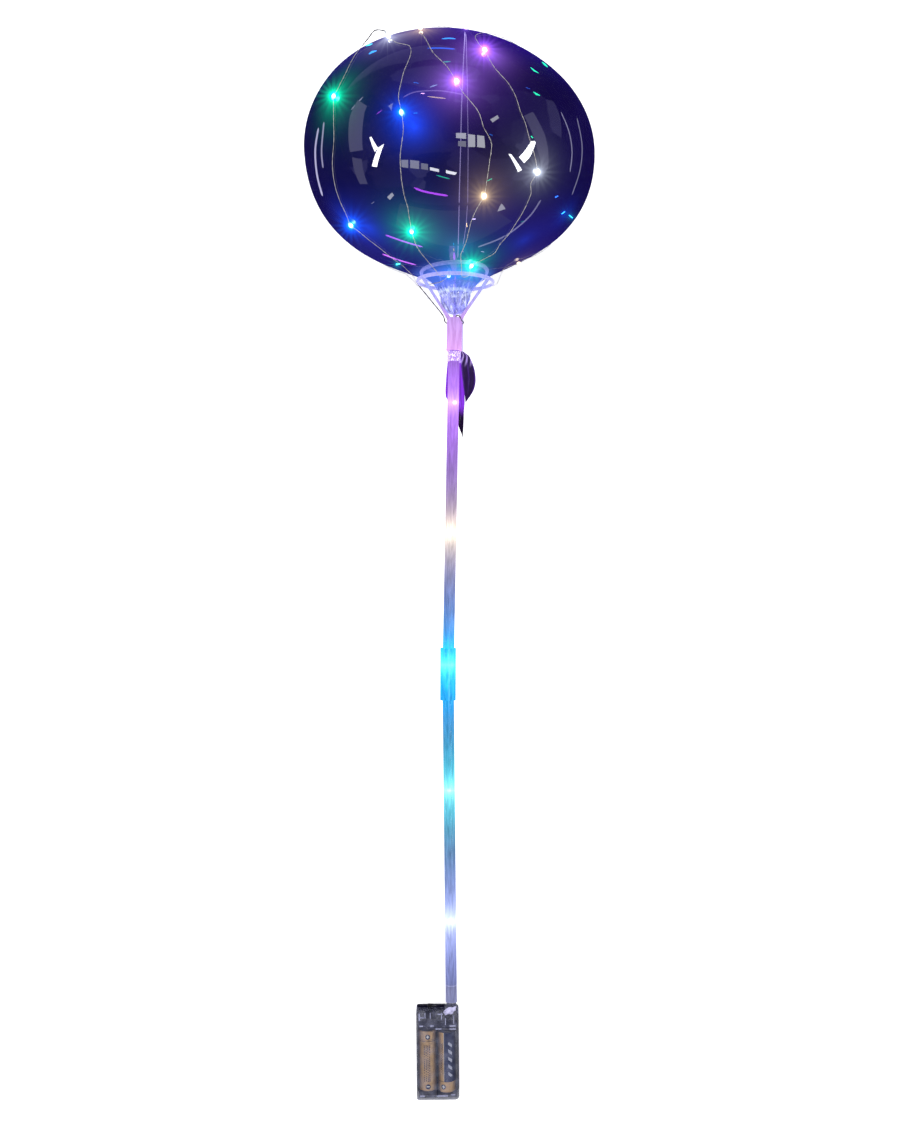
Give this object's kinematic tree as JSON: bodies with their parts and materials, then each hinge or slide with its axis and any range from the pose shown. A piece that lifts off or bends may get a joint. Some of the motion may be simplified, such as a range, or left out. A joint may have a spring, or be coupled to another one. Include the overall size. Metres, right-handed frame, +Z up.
{
  "type": "led balloon",
  "caption": "Clear balloon in a cup on a hollow stick, with a battery box at the foot and a string of small lights that runs up the stick and over the balloon; it lies on its side.",
  "frame": {"origin": "on the floor, in the middle of the object's footprint as it lies", "axes": "+Y along the object from the battery box to the balloon's crown, +Z up, +X to the right seen from above"},
  "size_m": [0.238, 0.8626, 0.2395],
  "materials": {
    "balloon_film": "glossy clear film that reflects dark surroundings",
    "clear_plastic": "clear moulded plastic",
    "smoky_plastic": "clear smoky moulded plastic",
    "cell_gold": "printed metal-look sleeve",
    "cell_navy": "printed dark sleeve",
    "plated_steel": "nickel plated",
    "black_plastic": "matte",
    "light_wire": "lacquered fine wire with clear light beads"
  },
  "bodies": {
    "body": {"battery_box": "smoky_plastic", "battery_cover": "smoky_plastic", "cell_left": "cell_gold", "cell_right": "cell_navy", "contact_bridge": "plated_steel", "contact_plus": "plated_steel", "contact_minus": "plated_steel", "spring_left": "plated_steel", "spring_right": "plated_steel", "switch_body": "black_plastic", "lower_stick": "clear_plastic", "upper_stick": "clear_plastic", "coupling_sleeve": "clear_plastic", "holder_cup": "clear_plastic", "balloon_envelope": "balloon_film", "light_string": "light_wire"},
    "switch": {"switch_knob": "black_plastic"}
  },
  "joints": [
    {"name": "switch_slide", "type": "slide", "parent": "body", "child": "switch", "axis": [0.9999, 0.0104, 0.0015], "range_m": [0, 0.003]}
  ]
}
